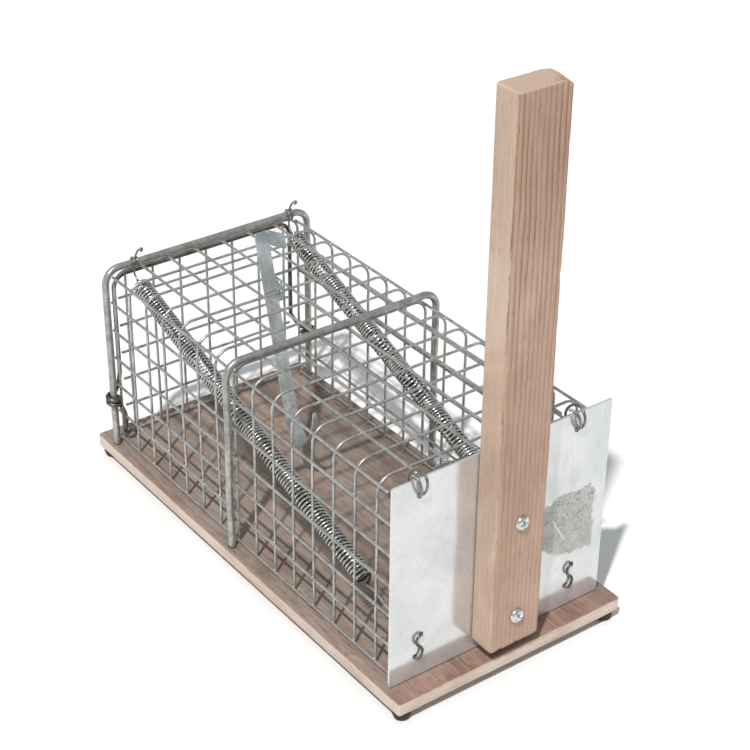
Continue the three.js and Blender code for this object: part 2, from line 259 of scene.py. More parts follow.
def rrect(x0, x1, y0, y1, r, step, size, seg=4):
    """Rounded rectangle, counter-clockwise. The point count follows the full size, so insets match."""
    out = []
    corners = [((x1 - r, y0 + r), -90), ((x1 - r, y1 - r), 0), ((x0 + r, y1 - r), 90), ((x0 + r, y0 + r), 180)]
    for i, ((cx, cy), a0) in enumerate(corners):
        for k in range(seg + 1):
            a = math.radians(a0 + 90 * k / seg)
            out.append((cx + r * math.cos(a), cy + r * math.sin(a)))
        (nx, ny), b0 = corners[(i + 1) % 4]
        b = math.radians(b0)
        ex, ey = nx + r * math.cos(b), ny + r * math.sin(b)
        sx, sy = out[-1]
        m = max(1, int(size[1 - i % 2] / step))
        for k in range(1, m):
            out.append((sx + (ex - sx) * k / m, sy + (ey - sy) * k / m))
    return out


# ------------------------------------------------------------------ materials


def lin(c):
    c = np.array(c, float) / 255.0
    v = np.where(c <= 0.04045, c / 12.92, ((c + 0.055) / 1.055) ** 2.4)
    return (*v, 1.0)


class Mat:
    def __init__(self, name):
        self.m = bpy.data.materials.new(name)
        self.m.use_nodes = True
        self.t = self.m.node_tree
        self.t.nodes.clear()
        self.out = self.t.nodes.new("ShaderNodeOutputMaterial")
        self.b = self.t.nodes.new("ShaderNodeBsdfPrincipled")
        self.t.links.new(self.b.outputs[0], self.out.inputs[0])
        self.co = self.t.nodes.new("ShaderNodeTexCoord").outputs["Object"]

    def put(self, socket, value):
        if isinstance(value, bpy.types.NodeSocket):
            self.t.links.new(value, socket)
        else:
            socket.default_value = value

    def scaled(self, s, co=None, rot=(0, 0, 0)):
        n = self.t.nodes.new("ShaderNodeMapping")
        self.put(n.inputs["Vector"], co or self.co)
        n.inputs["Scale"].default_value = s
        n.inputs["Rotation"].default_value = rot
        return n.outputs[0]

    def noise(self, scale, detail=4, rough=0.55, dist=0.0, co=None):
        n = self.t.nodes.new("ShaderNodeTexNoise")
        self.put(n.inputs["Vector"], co or self.co)
        n.inputs["Scale"].default_value = scale
        n.inputs["Detail"].default_value = detail
        n.inputs["Roughness"].default_value = rough
        n.inputs["Distortion"].default_value = dist
        return n.outputs["Fac"]

    def voronoi(self, scale, co=None, out="Distance", feature="F1", rand=1.0):
        n = self.t.nodes.new("ShaderNodeTexVoronoi")
        n.feature = feature
        self.put(n.inputs["Vector"], co or self.co)
        n.inputs["Scale"].default_value = scale
        n.inputs["Randomness"].default_value = rand
        return n.outputs[out]

    def ramp(self, fac, stops, ease="LINEAR"):
        n = self.t.nodes.new("ShaderNodeValToRGB")
        n.color_ramp.interpolation = ease
        e = n.color_ramp.elements
        while len(e) < len(stops):
            e.new(0.5)
        for i, (p, c) in enumerate(stops):
            e[i].position = p
            e[i].color = c if len(c) == 4 else lin(c)
        self.put(n.inputs[0], fac)
        return n.outputs[0]

    def step(self, fac, a, b, c=0.0, d=1.0, smooth=True):
        n = self.t.nodes.new("ShaderNodeMapRange")
        n.interpolation_type = "SMOOTHSTEP" if smooth else "LINEAR"
        self.put(n.inputs["Value"], fac)
        for k, x in zip(("From Min", "From Max", "To Min", "To Max"), (a, b, c, d)):
            n.inputs[k].default_value = x
        return n.outputs[0]

    def math(self, op, a, b=0.5, c=None):
        n = self.t.nodes.new("ShaderNodeMath")
        n.operation = op
        self.put(n.inputs[0], a)
        self.put(n.inputs[1], b)
        if c is not None:
            self.put(n.inputs[2], c)
        return n.outputs[0]

    def mix(self, fac, a, b, mode="MIX"):
        n = self.t.nodes.new("ShaderNodeMix")
        n.data_type = "RGBA"
        n.blend_type = mode
        self.put(n.inputs["Factor"], fac)
        self.put(n.inputs["A"], a if isinstance(a, bpy.types.NodeSocket) else (a if len(a) == 4 else lin(a)))
        self.put(n.inputs["B"], b if isinstance(b, bpy.types.NodeSocket) else (b if len(b) == 4 else lin(b)))
        return n.outputs["Result"]

    def xyz(self, co=None):
        n = self.t.nodes.new("ShaderNodeSeparateXYZ")
        self.put(n.inputs[0], co or self.co)
        return n.outputs

    def dot(self, v):
        n = self.t.nodes.new("ShaderNodeVectorMath")
        n.operation = "DOT_PRODUCT"
        self.put(n.inputs[0], self.co)
        n.inputs[1].default_value = v
        return n.outputs["Value"]

    def bump(self, height, dist, strength=1.0, normal=None):
        n = self.t.nodes.new("ShaderNodeBump")
        self.put(n.inputs["Height"], height)
        n.inputs["Distance"].default_value = dist
        n.inputs["Strength"].default_value = strength
        if normal:
            self.put(n.inputs["Normal"], normal)
        return n.outputs[0]

    def set(self, **kw):
        for k, v in kw.items():
            self.put(self.b.inputs[k.replace("_", " ")], v)
        return self.m


def galvanised(name, low, high, metal=0.8, r0=0.3, r1=0.55, lump=0.00006, dirt=(96, 96, 90), dirt_amount=0.55):
    m = Mat(name)
    broad = m.noise(230, 5, 0.6)
    fine = m.noise(1900, 4, 0.6)
    fac = m.math("ADD", m.math("MULTIPLY", broad, 0.65), m.math("MULTIPLY", fine, 0.35))
    col = m.ramp(fac, [(0.33, low), (0.5, tuple((np.array(low) * 0.4 + np.array(high) * 0.6).tolist())), (0.66, high)])
    grime = m.step(m.noise(520, 6, 0.65, 0.6), 0.56, 0.72, 0.0, dirt_amount)
    col = m.mix(grime, col, dirt)
    rough = m.step(fac, 0.3, 0.7, r1, r0)
    bump = m.bump(m.math("ADD", m.noise(900, 3), m.math("MULTIPLY", fine, 0.5)), lump, 0.8)
    return m.set(Base_Color=col, Metallic=metal, Roughness=rough, Normal=bump)


WIRE = galvanised("galvanised_wire", (140, 140, 137), (208, 208, 205), 0.72, 0.30, 0.5, 0.00008, (92, 91, 85), 0.5)
HOOP = galvanised("galvanised_rod", (130, 130, 126), (196, 197, 192), 0.75, 0.28, 0.5, 0.00007, (98, 96, 90), 0.5)
SPRING = galvanised("spring_wire", (128, 129, 126), (216, 217, 214), 0.8, 0.2, 0.38, 0.00002, (74, 72, 68), 0.4)


def coil_material():
    """Bright outside, with painted shade darkening the insides of the turns, which are also rougher."""
    m = Mat("spring_coil_wire")
    n = m.noise(1400, 4, 0.6)
    broad = m.noise(120, 4, 0.6)
    col = m.ramp(m.math("ADD", m.math("MULTIPLY", n, 0.5), m.math("MULTIPLY", broad, 0.5)), [(0.34, (150, 150, 147)), (0.52, (196, 197, 194)), (0.68, (224, 225, 222))])
    a = m.t.nodes.new("ShaderNodeAttribute")
    a.attribute_name = "turn_side"
    painted_inner_shade = m.step(m.math("ADD", a.outputs["Fac"], m.math("MULTIPLY", m.math("SUBTRACT", n, 0.5), 0.5)), -0.25, 0.45, 1.0, 0.0)
    # painted shade: the side of each turn that faces the spring's axis is mixed towards near-black
    col = m.mix(m.math("MULTIPLY", painted_inner_shade, 0.93), col, (46, 43, 39))
    rough = m.step(painted_inner_shade, 0.0, 1.0, 0.24, 0.6)
    return m.set(Base_Color=col, Metallic=0.8, Roughness=rough, Normal=m.bump(n, 0.00002, 0.6))


COIL = coil_material()
DARK = galvanised("blackened_wire", (62, 57, 50), (132, 127, 118), 0.7, 0.3, 0.55, 0.00006, (58, 42, 31), 0.75)
RINGM = galvanised("ring_wire", (84, 84, 80), (160, 162, 158), 0.8, 0.26, 0.48, 0.00005, (52, 48, 42), 0.7)


def sheet_material():
    m = Mat("galvanised_sheet")
    x, y, z = m.xyz()
    cloud = m.noise(38, 6, 0.62, 0.5)
    fine = m.noise(420, 5, 0.6)
    spangle = m.voronoi(150, m.scaled((1, 1, 0.7)), out="Color")
    sp = m.t.nodes.new("ShaderNodeSeparateColor")
    m.put(sp.inputs[0], spangle)
    sp = sp.outputs[0]
    fac = m.math("ADD", m.math("MULTIPLY", cloud, 0.62), m.math("MULTIPLY", fine, 0.2))
    fac = m.math("ADD", fac, m.math("MULTIPLY", sp, 0.07))
    col = m.ramp(fac, [(0.30, (208, 210, 211)), (0.50, (225, 227, 227)), (0.70, (235, 237, 237))])
    smear = m.noise(60, 5, 0.6, 1.2, m.scaled((1.0, 1.0, 0.35)))
    col = m.mix(m.step(smear, 0.58, 0.76, 0.0, 0.42), col, (190, 193, 193))
    specks = m.step(m.noise(900, 2, 0.5), 0.69, 0.76, 0.0, 0.6)
    col = m.mix(specks, col, (150, 152, 150))
    # roughness follows the clouding
    rough = m.step(fac, 0.3, 0.7, 0.17, 0.10)
    rough = m.math("ADD", rough, m.math("MULTIPLY", m.step(smear, 0.55, 0.78), 0.10))
    # a dried patch of glue and dust to the right of the batten
    poly = [(18.7, 61.3), (23.4, 61.2), (30.7, 64.8), (38.7, 62.1), (41.7, 56.6), (41.8, 50.4), (41.9, 33.3), (34.4, 33.7), (26.5, 34.8), (17.0, 40.5), (13.2, 50.0)]
    cx = sum(p[0] for p in poly) / len(poly)
    cz = sum(p[1] for p in poly) / len(poly)
    inside = None
    for (ax, az), (bx, bz) in zip(poly, poly[1:] + poly[:1]):
        nx, nz = -(bz - az), bx - ax
        k = math.hypot(nx, nz)
        nx, nz = nx / k, nz / k
        if (cx - ax) * nx + (cz - az) * nz < 0:
            nx, nz = -nx, -nz
        d = m.math("SUBTRACT", m.dot((nx, 0, nz)), (ax * nx + az * nz) / 1000)
        inside = d if inside is None else m.math("MINIMUM", inside, d)
    ragged = m.math("MULTIPLY", m.math("SUBTRACT", m.noise(430, 6, 0.7), 0.5), 0.0052)
    ragged = m.math("ADD", ragged, m.math("MULTIPLY", m.math("SUBTRACT", m.noise(120, 3, 0.5), 0.5), 0.004))
    mask = m.step(m.math("ADD", inside, ragged), -0.0004, 0.0005)
    front = m.step(y, (-97.0 + OY) / 1000, (-96.9 + OY) / 1000, 1.0, 0.0)
    mask = m.math("MULTIPLY", mask, front)
    grit = m.noise(1400, 5, 0.7)
    patch = m.ramp(m.math("ADD", m.math("MULTIPLY", grit, 0.7), m.math("MULTIPLY", m.noise(260, 4, 0.6), 0.3)), [(0.36, (128, 128, 122)), (0.5, (178, 178, 172)), (0.66, (208, 208, 203))])
    pits = m.step(m.voronoi(560), 0.16, 0.30, 0.95, 0.0)
    pits = m.math("MULTIPLY", pits, m.step(m.math("ADD", m.noise(210, 3, 0.6), m.math("MULTIPLY", m.math("SUBTRACT", z, 0.05), 9.0)), 0.44, 0.58))
    patch = m.mix(pits, patch, (88, 86, 80))
    # a scratch through the patch
    sx = m.math("SUBTRACT", m.dot((0.86, 0, 0.51)), (0.86 * 22.5 + 0.51 * 51.5) / 1000)
    scratch = m.math("MULTIPLY", m.step(m.math("ABSOLUTE", sx), 0.00012, 0.0003, 1.0, 0.0), m.step(m.math("ABSOLUTE", m.math("SUBTRACT", z, 0.0465)), 0.0050, 0.0056, 1.0, 0.0))
    scratch = m.math("MULTIPLY", scratch, mask)
    col = m.mix(m.math("MULTIPLY", mask, 0.88), col, patch)
    col = m.mix(scratch, col, (226, 227, 223))
    rough = m.math("ADD", rough, m.math("MULTIPLY", mask, 0.42))
    metal = m.step(mask, 0.0, 1.0, 0.62, 0.2)
    wave = m.bump(m.noise(14, 2, 0.4), 0.0006, 0.22)
    tiny = m.bump(m.math("ADD", m.math("MULTIPLY", fine, 0.5), m.math("MULTIPLY", m.math("MULTIPLY", mask, grit), 2.6)), 0.00004, 0.6, wave)
    return m.set(Base_Color=col, Metallic=metal, Roughness=rough, Normal=tiny)


SHEET = sheet_material()


def strip_material():
    m = Mat("strip_steel")
    cloud = m.noise(140, 5, 0.6, 0.4)
    fine = m.noise(1300, 4, 0.6)
    fac = m.math("ADD", m.math("MULTIPLY", cloud, 0.7), m.math("MULTIPLY", fine, 0.3))
    col = m.ramp(fac, [(0.34, (166, 172, 173)), (0.52, (200, 205, 206)), (0.68, (222, 226, 227))])
    col = m.mix(m.step(m.noise(420, 5, 0.65, 0.8), 0.60, 0.74, 0, 0.5), col, (120, 122, 118))
    return m.set(Base_Color=col, Metallic=0.85, Roughness=m.step(fac, 0.3, 0.7, 0.42, 0.24), Normal=m.bump(m.math("ADD", fine, m.noise(300, 3)), 0.00005, 0.7))


STRIP = strip_material()


def screw_material():
    m = Mat("plated_screw")
    n = m.noise(900, 4, 0.6)
    col = m.ramp(n, [(0.35, (176, 178, 178)), (0.6, (232, 233, 233))])
    col = m.mix(m.step(m.noise(1500, 4, 0.6), 0.60, 0.75, 0, 0.5), col, (96, 92, 84))
    return m.set(Base_Color=col, Metallic=0.95, Roughness=m.step(n, 0.3, 0.7, 0.26, 0.14), Normal=m.bump(n, 0.00003, 0.6))


SCREW = screw_material()


def rubber_material():
    m = Mat("foot_rubber")
    n = m.noise(700, 5, 0.6)
    col = m.ramp(n, [(0.35, (34, 26, 22)), (0.65, (66, 52, 44))])
    return m.set(Base_Color=col, Metallic=0.0, Roughness=m.step(n, 0.3, 0.7, 0.6, 0.85), Normal=m.bump(n, 0.0002, 0.6))


RUBBER = rubber_material()


def board_top_material():
    """Weathered reddish-brown face with the grain along the board."""
    m = Mat("board_face")
    x, y, z = m.xyz()
    bend = m.noise(14, 3, 0.5)
    warp = m.t.nodes.new("ShaderNodeCombineXYZ")
    m.put(warp.inputs[0], m.math("ADD", x, m.math("MULTIPLY", bend, 0.010)))
    m.put(warp.inputs[1], y)
    m.put(warp.inputs[2], z)
    co = warp.outputs[0]
    bands = m.noise(1, 4, 0.6, 0.3, m.scaled((150, 12, 60), co))
    streak = m.noise(1, 5, 0.7, 0.2, m.scaled((760, 60, 300), co))
    pores = m.noise(1, 3, 0.65, 0.0, m.scaled((1700, 260, 900), co))
    fac = m.math("ADD", m.math("MULTIPLY", bands, 0.5), m.math("MULTIPLY", streak, 0.5))
    col = m.ramp(fac, [(0.30, (94, 77, 67)), (0.43, (124, 105, 94)), (0.53, (147, 129, 117)), (0.66, (168, 152, 140))])
    col = m.mix(m.step(pores, 0.56, 0.68, 0.0, 0.62), col, (74, 54, 46))
    dull = m.step(m.noise(24, 5, 0.6, 0.6), 0.42, 0.66, 0.0, 0.42)
    col = m.mix(dull, col, (156, 142, 132))
    # redder and darker strip in front of the door
    near = m.step(y, (-99.5 + OY) / 1000, (-96.0 + OY) / 1000, 0.55, 0.0)
    col = m.mix(near, col, m.mix(1.0, col, (250, 212, 200), "MULTIPLY"), "MIX")
    rough = m.step(fac, 0.3, 0.7, 0.72, 0.54)
    h = m.math("ADD", m.math("MULTIPLY", streak, 0.5), m.math("MULTIPLY", m.step(pores, 0.5, 0.7, 1.0, 0.0), 0.5))
    return m.set(Base_Color=col, Metallic=0.0, Roughness=rough, Normal=m.bump(h, 0.00016, 0.8))


def board_edge_material():
    """Pale sawn edge with a dark line under the face and painted shadow along the bottom."""
    m = Mat("board_edge")
    x, y, z = m.xyz()
    run = m.noise(1, 5, 0.6, 0.2, m.scaled((60, 60, 900)))
    speck = m.noise(900, 4, 0.65)
    cloud = m.noise(30, 4, 0.6)
    fac = m.math("ADD", m.math("MULTIPLY", run, 0.45), m.math("MULTIPLY", cloud, 0.55))
    col = m.ramp(fac, [(0.32, (178, 158, 143)), (0.5, (205, 187, 173)), (0.66, (222, 208, 196))])
    col = m.mix(m.step(speck, 0.58, 0.70, 0.0, 0.6), col, (152, 126, 108))
    pale = m.step(m.noise(1300, 3, 0.6), 0.62, 0.72, 0.0, 0.5)
    col = m.mix(pale, col, (232, 222, 208))
    # face layer seen on the edge
    jag = m.math("MULTIPLY", m.math("SUBTRACT", m.noise(260, 4, 0.6), 0.5), 0.0009)
    top = m.step(m.math("ADD", z, jag), 0.00905, 0.00945)
    col = m.mix(m.math("MULTIPLY", top, 0.72), col, (124, 95, 80))
    # painted shadow: the lowest part of the edge, next to the floor, is darkened
    low = m.step(m.math("ADD", z, jag), 0.0041, 0.0047, 0.6, 0.0)
    col = m.mix(low, col, (150, 124, 104))
    h = m.math("ADD", m.math("MULTIPLY", run, 0.5), m.math("MULTIPLY", speck, 0.5))
    return m.set(Base_Color=col, Metallic=0.0, Roughness=0.74, Normal=m.bump(h, 0.00022, 0.8))


BOARD_TOP_M, BOARD_EDGE_M = board_top_material(), board_edge_material()


def batten_material():
    """Softwood sawn so that the rings run down the wide face; the narrow faces are nearly plain."""
    m = Mat("batten_wood")
    x, y, z = m.xyz()
    sway = m.noise(1, 3, 0.5, 0.0, m.scaled((40, 40, 9)))
    ripple = m.noise(1, 3, 0.5, 0.0, m.scaled((300, 300, 60)))
    q = m.math("ADD", x, m.math("MULTIPLY", y, 0.10))
    q = m.math("ADD", q, m.math("MULTIPLY", sway, 0.0042))
    q = m.math("ADD", q, m.math("MULTIPLY", ripple, 0.0006))
    saw = m.math("FRACT", m.math("MULTIPLY", q, 1 / 0.00205))
    ring = m.ramp(saw, [(0.0, (0, 0, 0, 1)), (0.42, (0.22, 0.22, 0.22, 1)), (0.78, (1, 1, 1, 1)), (0.93, (0.12, 0.12, 0.12, 1)), (1.0, (0, 0, 0, 1))])
    fade = m.step(z, 0.060, 0.200, 0.34, 0.85)
    fade = m.math("MULTIPLY", fade, m.step(m.noise(1, 4, 0.6, 0.0, m.scaled((160, 160, 30))), 0.30, 0.60, 0.45, 1.15))
    fibre = m.noise(1, 5, 0.65, 0.0, m.scaled((1500, 1500, 45)))
    cloud = m.noise(26, 5, 0.6, 0.4)
    base = m.ramp(m.math("ADD", m.math("MULTIPLY", cloud, 0.6), m.math("MULTIPLY", fibre, 0.4)), [(0.34, (176, 149, 129)), (0.5, (194, 169, 149)), (0.66, (208, 187, 168))])
    # wide faces only: away from the two narrow sides
    wide = m.math("MULTIPLY", m.step(x, -0.01335, -0.0128), m.step(x, 0.0077, 0.0082, 1.0, 0.0))
    notend = m.step(z, 0.2255, 0.2261, 1.0, 0.18)
    amount = m.math("MULTIPLY", m.math("MULTIPLY", ring, fade), m.math("MULTIPLY", m.math("ADD", m.math("MULTIPLY", wide, 0.86), 0.10), notend))
    # the wide faces get a rosier, darker tint: partly the wood's own colour, partly painted shade darkening them
    # against the narrow faces
    rosy_tint_and_shade = m.math("MULTIPLY", wide, 0.5)
    base = m.mix(rosy_tint_and_shade, base, m.mix(1.0, base, (232, 210, 200), "MULTIPLY"))
    col = m.mix(amount, base, (138, 92, 72))
    # short dark pores
    pores = m.noise(1, 2, 0.5, 0.0, m.scaled((2600, 2600, 240)))
    col = m.mix(m.step(pores, 0.62, 0.72, 0.0, 0.5), col, (120, 80, 60))
    spots = m.step(m.noise(760, 3, 0.6), 0.66, 0.75, 0.0, 0.5)
    col = m.mix(spots, col, (160, 120, 96))
    # handling marks down the front left corner
    edge = m.math("MULTIPLY", m.step(x, -0.0127, -0.0134), m.step(y, (-107.4 + OY) / 1000, (-108.1 + OY) / 1000))
    edge = m.math("MULTIPLY", edge, m.step(m.noise(1, 5, 0.7, 0.0, m.scaled((300, 300, 55))), 0.46, 0.60))
    edge = m.math("MULTIPLY", edge, m.step(z, 0.085, 0.13, 0.25, 0.9))
    col = m.mix(edge, col, (124, 72, 50))
    # greyed end grain
    end = m.step(z, 0.2256, 0.2262, 0.0, 0.55)
    col = m.mix(end, col, (198, 178, 158))
    # painted shadow: the lowest 1-2 mm of the batten, along a ragged line, is darkened
    foot = m.step(m.math("ADD", z, m.math("MULTIPLY", m.noise(500, 4, 0.7), 0.0016)), 0.0163, 0.0176, 0.75, 0.0)
    col = m.mix(foot, col, (92, 62, 48))
    h = m.math("ADD", m.math("MULTIPLY", fibre, 0.6), m.math("MULTIPLY", ring, 0.25))
    return m.set(Base_Color=col, Metallic=0.0, Roughness=m.step(fibre, 0.3, 0.7, 0.74, 0.58), Normal=m.bump(h, 0.00016, 0.8))


BATTEN = batten_material()

# ------------------------------------------------------------------ dimensions, mm, as in the CAD
PITCH, WIRE_R, CAGE_HALF, CAGE_Z0, CAGE_TOP, CAGE_R, CAGE_Y1, ROWS = 12.7, 0.55, 44.45, 11.5, 88.2, 6.0, 95.25, 15
SIDE_Y0, TOP_Y0 = -92.6, -88.4
TOP_X = [-32.4, -19.7, -7.0, 5.7, 18.4, 31.1]
HOOP_R, HOOP_X, HOOP_Z, HOOP_BEND, SOCKET_Z, HOOP_FAR_Y, HOOP_MID_Y = 1.45, 48.5, 91.15, 6.5, 5.5, 94.2, 5.0
FRAME_R, FRAME_X, FRAME_Z, FRAME_Y, FRAME_BEND = 1.35, 41.4, 90.4, -93.8, 4.0
END_Y, ENDF_R, ENDF_X, ENDF_Z, ENDF_Y = 97.0, 0.9, 42.6, 85.0, 98.9
PX0, PX1, PZ0, PZ1, PY, PT = -49.6, 47.0, 10.45, 94.3, -97.2, 0.7
SX, SW, ST, SZ0, SZ1 = -2.6, 21.8, 10.8, 15.5, 226.5
SY1 = PY - 0.3
SY0 = SY1 - ST
SCREW_Z = [28.4, 68.2]
RING_X, RING_Y, RING_Z, RING_R = [-38, 31], -95.4, 91.5, 4.4
TIE_X = [-37.2, 31.8]
SPRING_A = [(-36, 94.2, 85.8), (38, 94.2, 85.8)]
SPRING_B = [(-37.2, -94.8, 23.8), (31.8, -94.8, 23.8)]
COIL_R, COIL_W, COIL_S0, COIL_S1 = 3.35, 0.45, 6.0, 168.0
PIVOT, LEAN = (44.45, 88.2), math.radians(14.7)
X0, X1, TT = -4.7, 1.3, 0.6

# ------------------------------------------------------------------ board and feet
g = Geo()
rings = []
for z, inset, wear in [(3.8, 0.55, 0.10), (4.25, 0.12, 0.08), (4.7, 0, 0.05), (7.0, 0, 0.05), (9.2, 0, 0.06), (9.72, 0.10, 0.16), (10.0, 0.42, 0.22)]:
    ring = []
    for x, y in rrect(-51.25 + inset, 51.25 - inset, -105.5 + inset, 105.5 - inset, 0.9, 2.2, (102.5, 211.0), 5):
        k = wear * (fnoise((x, y, z), 0.16, 3) * 1.2 + fnoise((x, y, z), 0.7, 9) * 0.6)
        d = np.array([x / 51.25, y / 105.5])
        d = np.where(np.abs(d) > 0.985, np.sign(d), 0)
        ring.append((x - d[0] * abs(k), y - d[1] * abs(k), z + (0.05 * fnoise((x, y, 0), 0.1, 1) if z > 9.5 else 0)))
    rings.append(ring)
g.stack(rings, mats=[1, 1, 1, 1, 1, 0], cap_mats=(1, 0))
board = g.build("base_board_wood", [BOARD_TOP_M, BOARD_EDGE_M])
holes = []
for s in (-1, 1):
    holes += [cylinder_pts((s * HOOP_X, HOOP_FAR_Y, 5.2), "z", HOOP_R + 0.3, 8), cylinder_pts((s * HOOP_X, HOOP_MID_Y, 5.2), "z", HOOP_R + 0.3, 8), cylinder_pts((s * FRAME_X, FRAME_Y, 5.2), "z", FRAME_R + 0.3, 8)]
cut(board, holes)
sharp_by_angle(board, 40)
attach(board, "cage"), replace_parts(board, "base_board"), board

for name, x, y in [("foot_near_left", -47.2, -101.6), ("foot_near_right", 47.2, -101.6), ("foot_far_left", -47.2, 101.6), ("foot_far_right", 47.2, 101.6)]:
    g = Geo()
    rings = []
    for z, r in [(0.0, 2.3), (0.18, 2.6), (0.7, 3.0), (1.6, 3.3), (2.6, 3.4), (3.15, 3.35), (3.5, 3.1)]:
        ring = []
        for k in range(40):
            a = 2 * math.pi * k / 40
            rr = r + (0.10 * fnoise((math.cos(a) * 2, math.sin(a) * 2, z * 0.6), 0.9, x) if 0.1 < z < 3.4 else 0)
            ring.append((x + rr * math.cos(a), y + rr * math.sin(a), z))
        rings.append(ring)
    g.stack(rings)
    g.build(name + "_pad", RUBBER, "cage", [name])

# ------------------------------------------------------------------ hoops and frames


def arch(x, top, foot, bend, y, steps=12, wob=0.0, seed=0.0):
    p = [(-x, y, z) for z in np.linspace(foot, top - bend, 16)[:-1]]
    p += [(-x + bend - bend * math.cos(a), y, top - bend + bend * math.sin(a)) for a in np.linspace(0, math.pi / 2, steps)]
    p += [(xx, y, top) for xx in np.linspace(-x + bend, x - bend, 22)[1:-1]]
    p += [(x - bend + bend * math.sin(a), y, top - bend + bend * math.cos(a)) for a in np.linspace(0, math.pi / 2, steps)]
    p += [(x, y, z) for z in np.linspace(top - bend, foot, 16)[1:]]
    p = arr(p)
    if wob:
        for q in p:
            k = min(1.0, max(0.0, (q[2] - 10) / 25))
            q[0] += wob * k * fnoise(q, 0.028, seed)
            q[1] += wob * k * fnoise(q, 0.024, seed + 11)
    return p


def rough(pts, r, seed, amount=0.02):
    return [r * (1 + amount * fnoise(q, 0.9, seed)) for q in pts]


for name, y, seed in [("hoop_far", HOOP_FAR_Y, 2.0), ("hoop_middle", HOOP_MID_Y, 7.0)]:
    p = arch(HOOP_X, HOOP_Z, SOCKET_Z, HOOP_BEND, y, wob=0.55 if "middle" in name else 0.25, seed=seed)
    g = Geo()
    g.tube(p, rough(p, HOOP_R, seed), 16)
    g.build(name + "_rod", HOOP, "cage", [name])
p = arch(FRAME_X, FRAME_Z, SOCKET_Z, FRAME_BEND, FRAME_Y, wob=0.0)
g = Geo()
g.tube(p, rough(p, FRAME_R, 4), 16)
g.build("frame_near_rod", HOOP, "cage", ["frame_near"])

wrap_r = HOOP_R + 0.25 + ENDF_R


def wraps(s):
    p, start = [], math.atan2(ENDF_Y - 1.2 - HOOP_FAR_Y, s * (ENDF_X - HOOP_X))
    for i in range(57):
        a, z = start - s * (i / 56) * 4 * math.pi, 33.6 - (i / 56) * 4.4
        p.append((s * HOOP_X + wrap_r * math.cos(a), HOOP_FAR_Y + wrap_r * math.sin(a), z))
    return p


left, right = wraps(-1), wraps(1)
mid = arch(ENDF_X, ENDF_Z, 37.5, 6, ENDF_Y, 8)
tail_l = [(-44.2, 91.6, 17.2), (-43.4, 92.4, 15.6), (-44.6, 93.2, 15.2), (-45.3, 92.4, 17.0), (-45.0, 91.4, 21.5), (-45.6, 91.0, 25.0), (-46.3, 91.4, 27.6)]
tail_l = [tuple(q) for q in smooth_path(tail_l, 4)]
path = arr(tail_l + left[::-1] + [tuple(q) for q in mid] + right)
# ease the straight legs into the wraps
soft = path.copy()
for _ in range(3):
    soft[1:-1] = (soft[:-2] + 2 * soft[1:-1] + soft[2:]) / 4
near_end = (path[:, 2] > 33.0) & (path[:, 2] < 40)
path[near_end] = soft[near_end]
g = Geo()
g.tube(path, rough(path, ENDF_R, 5, 0.03), 12)
g.build("end_frame_bent_wire", DARK, "cage", ["end_frame_wire"])

# ------------------------------------------------------------------ welded mesh
OUT = WIRE_R * 1.75


def sag(v):
    """The slight unevenness of hand-bent mesh."""
    out = v.copy()
    for q in out:
        k = min(1.0, max(0.0, (q[2] - 12) / 20))
        q += k * np.array([0.30 * fnoise(q, 0.030, 21), 0.22 * fnoise(q, 0.034, 33), 0.16 * fnoise(q, 0.040, 47)])
    return out


def wire(g, pts, r, seed, sides=8):
    p = arr(pts)
    g.tube(p, [r * (1 + 0.05 * fnoise(q, 0.55, seed)) for q in p], sides)


def u_point(t, off=0.0):
    """A point on the bent section, t in mm along it from the left foot; off is outward."""
    side = CAGE_TOP - CAGE_R - CAGE_Z0
    arc = CAGE_R * math.pi / 2
    flat = 2 * (CAGE_HALF - CAGE_R)
    for s in (-1, 1):
        pass
    if t <= side:
        return (-CAGE_HALF - off, CAGE_Z0 + t)
    t -= side
    if t <= arc:
        a = t / CAGE_R
        return (-CAGE_HALF + CAGE_R - (CAGE_R + off) * math.cos(a), CAGE_TOP - CAGE_R + (CAGE_R + off) * math.sin(a))
    t -= arc
    if t <= flat:
        return (-CAGE_HALF + CAGE_R + t, CAGE_TOP + off)
    t -= flat
    if t <= arc:
        a = t / CAGE_R
        return (CAGE_HALF - CAGE_R + (CAGE_R + off) * math.sin(a), CAGE_TOP - CAGE_R + (CAGE_R + off) * math.cos(a))
    t -= arc
    return (CAGE_HALF + off, CAGE_TOP - CAGE_R - t)


SIDE = CAGE_TOP - CAGE_R - CAGE_Z0
ARC = CAGE_R * math.pi / 2
TOTAL = 2 * SIDE + 2 * ARC + 2 * (CAGE_HALF - CAGE_R)
ts = [-1.0]
while ts[-1] < TOTAL + 1.0:
    here = ts[-1]
    in_bend = SIDE - 1 < here < SIDE + ARC + 0.5 or TOTAL - SIDE - ARC - 1 < here < TOTAL - SIDE + 0.5
    ts.append(here + (1.05 if in_bend else 2.6))
rows = [CAGE_Y1 - PITCH * k for k in range(ROWS)]
side_z = [CAGE_Z0 + PITCH * j for j in range(6)]
g = Geo()
for k, y in enumerate(rows):
    wire(g, [(u_point(t)[0], y, u_point(t)[1]) for t in ts], WIRE_R, k * 3.1)
longs = []
for s in (-1, 1):
    for z in side_z:
        longs.append((s * (CAGE_HALF + OUT), z, SIDE_Y0, (s, 0)))
    a = math.radians(56)
    longs.append((s * (CAGE_HALF - CAGE_R + (CAGE_R + OUT) * math.sin(a)), CAGE_TOP - CAGE_R + (CAGE_R + OUT) * math.cos(a), TOP_Y0, (s * math.sin(a), math.cos(a))))
for x in TOP_X:
    longs.append((x, CAGE_TOP + OUT, TOP_Y0, (0, 1)))
